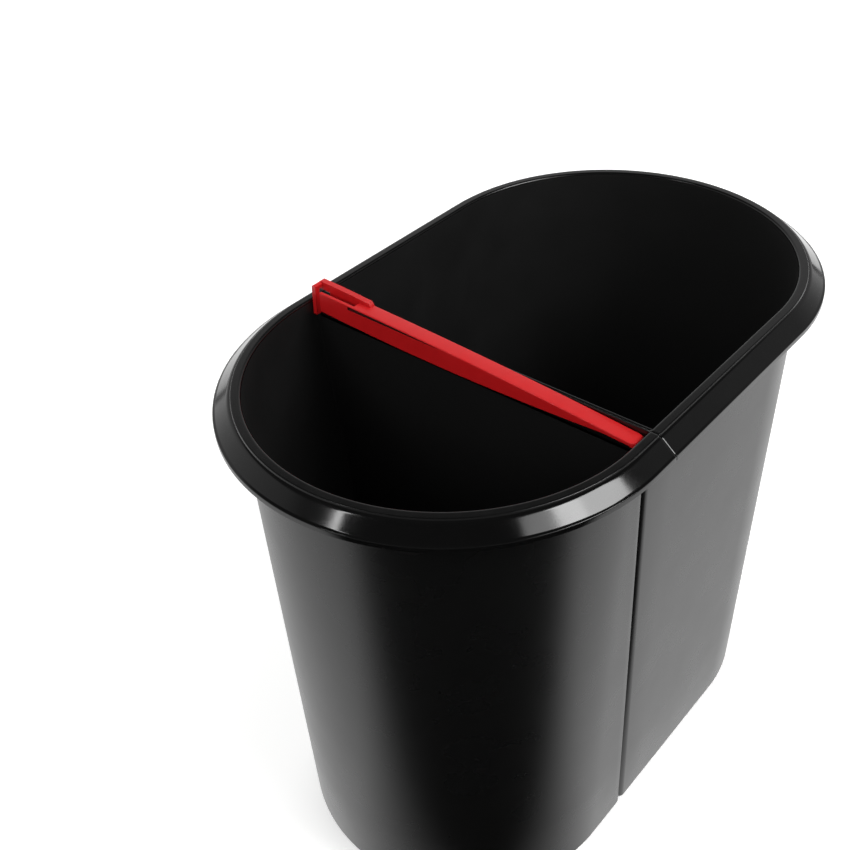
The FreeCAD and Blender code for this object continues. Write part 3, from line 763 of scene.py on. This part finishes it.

# %% [markdown]
# ### Finish the bar
# The faces inside the slit are found by place and get the darker red, which is painted shade for the
# slit's shadow. Then the whole bar is turned about its pin to the angle at which it rests in the
# model, and set down on the pin's place.

# %% Paint shade into the slit and turn the bar to its rest angle
bm = bmesh.new()
bm.from_mesh(bar.data)
bpy.data.objects.remove(bar)
in_slit = 0
for face in bm.faces:
    middle = face.calc_center_median()
    if -BAR + 0.1 < middle.y < -BAR + SLIT_DEPTH + 0.1 and along[0] < middle.x < along[-1]:
        upper, lower = slit_edges(middle.x)
        if lower - 0.1 < middle.z < upper + 0.1:
            # painted shade: the slit's faces take the dark red
            face.material_index = 1
            in_slit += 1
print("faces in the slit:", in_slit)
bmesh.ops.rotate(bm, cent=(0, 0, 0), matrix=Matrix.Rotation(radians(REST), 3, "Y"), verts=bm.verts)
bmesh.ops.translate(bm, vec=(PIN_X, BAR_BACK, PIN_Z), verts=bm.verts)
finish_piece("coupling_bar_moulding", bm, "bar", ["coupling_bar"],
             [signal_red, painted_shade_red], edge_round=0.3)

# %% [markdown]
# ## Studio
# Glossy black shows only what it reflects, so the studio is laid out by reflection: lamps for the
# rim, a lit card on the table for the walls, and a pale room for everything else.
#
# The basket stands on a pale table, as in a product studio. Light comes through it from below, more
# of it far away, so that the far table fades into the pale room. It is hidden from the basket's own
# reflections, because the card on it takes that part.

# %% Table
def stage_disc(name, radius, height, material):
    """A flat disc as part of the stage."""
    bm = bmesh.new()
    bmesh.ops.create_circle(bm, cap_ends=True, cap_tris=True, segments=96, radius=radius)
    bmesh.ops.translate(bm, vec=(0, 0, height), verts=bm.verts)
    mesh = bpy.data.meshes.new(name)
    bm.to_mesh(mesh)
    bm.free()
    mesh.materials.append(material)
    disc = bpy.data.objects.new(name, mesh)
    bpy.context.scene.collection.objects.link(disc)
    return disc


floor_paint, tree, shader, place = new_material("pale_backlit_acrylic_table", "#f4f4f3", 0.9,
                                                specular=0.1)
shader.inputs["Emission Color"].default_value = linear("#ffffff")
table_reach = add(tree, "ShaderNodeVectorMath", {"operation": "LENGTH"}, i0=place)
table_glow = add(tree, "ShaderNodeMapRange", i0=table_reach.outputs["Value"], i1=0.6, i2=3.0,
                 i3=0.4, i4=0.87)
tree.links.new(table_glow.outputs["Result"], shader.inputs["Emission Strength"])
vary_roughness(tree, shader, place, 80, 0.85, 0.95)
TABLE_RADIUS, TABLE_Z = 9.0, -0.0006
floor = stage_disc("studio_floor", TABLE_RADIUS, TABLE_Z, floor_paint)
floor.visible_glossy = False
print("table radius:", TABLE_RADIUS, "m")

# %% [markdown]
# ### Lit card
# The upright walls mirror the table near them. A lit card lies there that only reflections can see.
# Its light stops softly at two lines that run out from the basket, so a wedge in front stays dark:
# that gives the small tub its grey sides and black middle. Cards cut to size would have hard edges.

# %% Lines where the card's light stops
card_glow = bpy.data.materials.new("lit_white_card")
card_glow.use_nodes = True
card_tree = card_glow.node_tree
card_tree.nodes.clear()
card_place = add(card_tree, "ShaderNodeTexCoord").outputs["Object"]


def beyond(start, azimuth, side, soft):
    """0 to 1 across a line on the floor that starts at a point and runs along an azimuth."""
    away = Vector((-sin(radians(azimuth)), cos(radians(azimuth)), 0)) * side
    centred = add(card_tree, "ShaderNodeVectorMath", {"operation": "SUBTRACT"},
                  i0=card_place, i1=Vector(start))
    gap = add(card_tree, "ShaderNodeVectorMath", {"operation": "DOT_PRODUCT"},
              i0=centred.outputs[0], i1=away)
    edge = add(card_tree, "ShaderNodeMapRange", {"interpolation_type": "SMOOTHSTEP"},
               i0=gap.outputs["Value"], i1=-soft, i2=soft, i3=0.0, i4=1.0)
    return edge.outputs["Result"]


right_edge = beyond((0.105, -0.118, 0), 15, 1, 0.05)
left_edge = beyond((0.029, -0.190, 0), -108, -1, 0.06)
lit = add(card_tree, "ShaderNodeMath", {"operation": "MAXIMUM"}, i0=right_edge, i1=left_edge)
print("nodes for the card's lines:", len(card_tree.nodes))

# %% [markdown]
# The card is a little brighter towards the right, and brighter further out, which is the part that
# the upper walls mirror.

# %% Card
card_axis = add(card_tree, "ShaderNodeSeparateXYZ", Vector=card_place)
card_level = add(card_tree, "ShaderNodeMapRange", i0=card_axis.outputs["X"], i1=-0.3, i2=0.3,
                 i3=0.85, i4=1.05)
far_off = add(card_tree, "ShaderNodeVectorMath", {"operation": "LENGTH"}, i0=card_place)
far_level = add(card_tree, "ShaderNodeMapRange", i0=far_off.outputs["Value"], i1=0.5, i2=1.3,
                i3=1.0, i4=1.7)
card_both = add(card_tree, "ShaderNodeMath", {"operation": "MULTIPLY"},
                i0=card_level.outputs["Result"], i1=far_level.outputs["Result"])
card_masked = add(card_tree, "ShaderNodeMath", {"operation": "MULTIPLY"},
                  i0=card_both.outputs[0], i1=lit.outputs[0])
card_light = add(card_tree, "ShaderNodeEmission", Strength=card_masked.outputs[0])
add(card_tree, "ShaderNodeOutputMaterial", Surface=card_light.outputs["Emission"])
card_glow.cycles.emission_sampling = "NONE"
CARD_RADIUS, CARD_Z = 4.0, -0.0003
card = stage_disc("white_cards_round_the_object", CARD_RADIUS, CARD_Z, card_glow)
for reach in ("camera", "diffuse", "shadow", "transmission", "volume_scatter"):
    setattr(card, f"visible_{reach}", False)
print("card nodes:", len(card_tree.nodes))

# %% [markdown]
# ### Lamps
# A large softbox to the right and its dimmer wing make the broad sheen on the rim, and a narrow
# strip to the left makes the small one. Two fills and a wash for the far table add light without a
# reflection of their own. Each lamp is placed by azimuth, elevation and distance from what it
# faces.

# %% Softboxes
BASKET_MIDDLE = (0, -0.05, 0.3)


def softbox(name, azimuth, elevation, distance, width, height, power, target=BASKET_MIDDLE, shown=True):
    """An area lamp on a sphere round the target, facing it. shown is whether reflections see it."""
    data = bpy.data.lights.new(name, "AREA")
    data.shape = "RECTANGLE"
    data.size, data.size_y, data.energy = width, height, power
    lamp = bpy.data.objects.new(name, data)
    a, e = radians(azimuth), radians(elevation)
    away = Vector((cos(a) * cos(e), sin(a) * cos(e), sin(e)))
    lamp.location = Vector(target) + away * distance
    lamp.rotation_euler = away.to_track_quat("Z", "Y").to_euler()
    lamp.visible_glossy = shown
    lamp.visible_camera = False
    bpy.context.scene.collection.objects.link(lamp)


softbox("right_softbox", 18, 42, 2.2, 0.98, 0.8, 25)
softbox("right_softbox_wing", -1, 43, 2.2, 0.8, 0.75, 7)
softbox("left_strip", -109.6, 43, 2.34, 0.11, 0.7, 3.2)
softbox("top_fill", 120, 80, 2.6, 2.6, 2.6, 16, shown=False)
softbox("front_fill", -80, 35, 2.8, 2.0, 1.2, 32, shown=False)
softbox("floor_wash", 135, 50, 2.9, 3.0, 3.0, 60, target=(-1.2, 1.2, 0.0), shown=False)
print("softboxes:", len(bpy.data.lights))

# %% [markdown]
# ### Room
# In reflections the room is pale at the horizon, falls off with height and is dark overhead, and it
# is brighter on the side that daylight comes from. Seen directly it is a plain near-white, and for
# soft light it is dim, so that the shadow side stays black.

# %% Room
DAYLIGHT_SIDE = radians(160)
world = bpy.data.worlds.new("studio_air")
bpy.context.scene.world = world
world.use_nodes = True
sky = world.node_tree
sky.nodes.clear()
ray = add(sky, "ShaderNodeLightPath")
heading = add(sky, "ShaderNodeTexCoord").outputs["Generated"]
heading_axes = add(sky, "ShaderNodeSeparateXYZ", Vector=heading)
height = add(sky, "ShaderNodeMapRange", i0=heading_axes.outputs["Z"], i1=-1.0, i2=1.0, i3=0.0, i4=1.0)
room = add(sky, "ShaderNodeValToRGB", Fac=height.outputs["Result"])
# Pairs (upward part of the direction, brightness), from straight down to straight up.
steps = [(-1.0, 0.02), (-0.06, 0.02), (-0.03, 0.9), (0.02, 0.75), (0.16, 0.52), (0.3, 0.42),
         (0.44, 0.38), (0.56, 0.34), (0.61, 0.14), (0.65, 0.05), (0.75, 0.03), (1.0, 0.03)]
for upward, _ in steps[1:-1]:
    room.color_ramp.elements.new((upward + 1) / 2)
for element, (upward, level) in zip(room.color_ramp.elements, steps):
    element.position = (upward + 1) / 2
    element.color = (level, level, level, 1)
daylight = add(sky, "ShaderNodeVectorMath", {"operation": "DOT_PRODUCT"}, i0=heading,
               i1=Vector((cos(DAYLIGHT_SIDE), sin(DAYLIGHT_SIDE), 0)))
daylight_level = add(sky, "ShaderNodeMapRange", i0=daylight.outputs["Value"], i1=-0.4, i2=0.75,
                     i3=0.4, i4=1.25)
print("steps of the room's brightness:", len(room.color_ramp.elements))

# %% [markdown]
# The Light Path node tells the three uses apart: glossy rays get the room, diffuse rays the dim
# white, and the rest, which is what shows behind the basket, the near-white.

# %% Room for each kind of ray
seen = add(sky, "ShaderNodeBackground", Color=linear("#fcfcfc"), Strength=1.0)
mirrored = add(sky, "ShaderNodeBackground", Color=room.outputs["Color"],
               Strength=daylight_level.outputs["Result"])
dim = add(sky, "ShaderNodeBackground", Color=linear("#ffffff"), Strength=0.12)
seen_or_mirrored = add(sky, "ShaderNodeMixShader", i0=ray.outputs["Is Glossy Ray"],
                       i1=seen.outputs["Background"], i2=mirrored.outputs["Background"])
all_rays = add(sky, "ShaderNodeMixShader", i0=ray.outputs["Is Diffuse Ray"],
               i1=seen_or_mirrored.outputs["Shader"], i2=dim.outputs["Background"])
add(sky, "ShaderNodeOutputWorld", Surface=all_rays.outputs["Shader"])
bpy.context.scene.view_settings.view_transform = "Standard"
print("room nodes:", len(sky.nodes))

# %% [markdown]
# ## Camera
# The camera looks down from the front right, over the small tub, with a normal lens of about 48 mm.
# Its axes are built from azimuth, elevation and roll, as a person would set a tripod.

# %% Place the camera
CAMERA_PLACE = Vector((345.57, -482.7, 724.57)) * MM
camera_data = bpy.data.cameras.new("camera")
camera_data.lens = 47.85
camera_data.sensor_width = 36.0
camera = bpy.data.objects.new("camera", camera_data)
az, el, roll = radians(42.56), radians(37.75), radians(-3.67)
back = Vector((sin(az) * cos(el), -cos(az) * cos(el), sin(el)))
right = Vector((cos(az), sin(az), 0))
up = back.cross(right)
right_turned = cos(roll) * right + sin(roll) * up
up_turned = cos(roll) * up - sin(roll) * right
axes = Matrix((right_turned, up_turned, back)).transposed()
camera.matrix_world = Matrix.Translation(CAMERA_PLACE) @ axes.to_4x4()
bpy.context.scene.collection.objects.link(camera)
bpy.context.scene.camera = camera
print("camera height:", round(CAMERA_PLACE.z, 3), "m; lens", camera_data.lens, "mm")
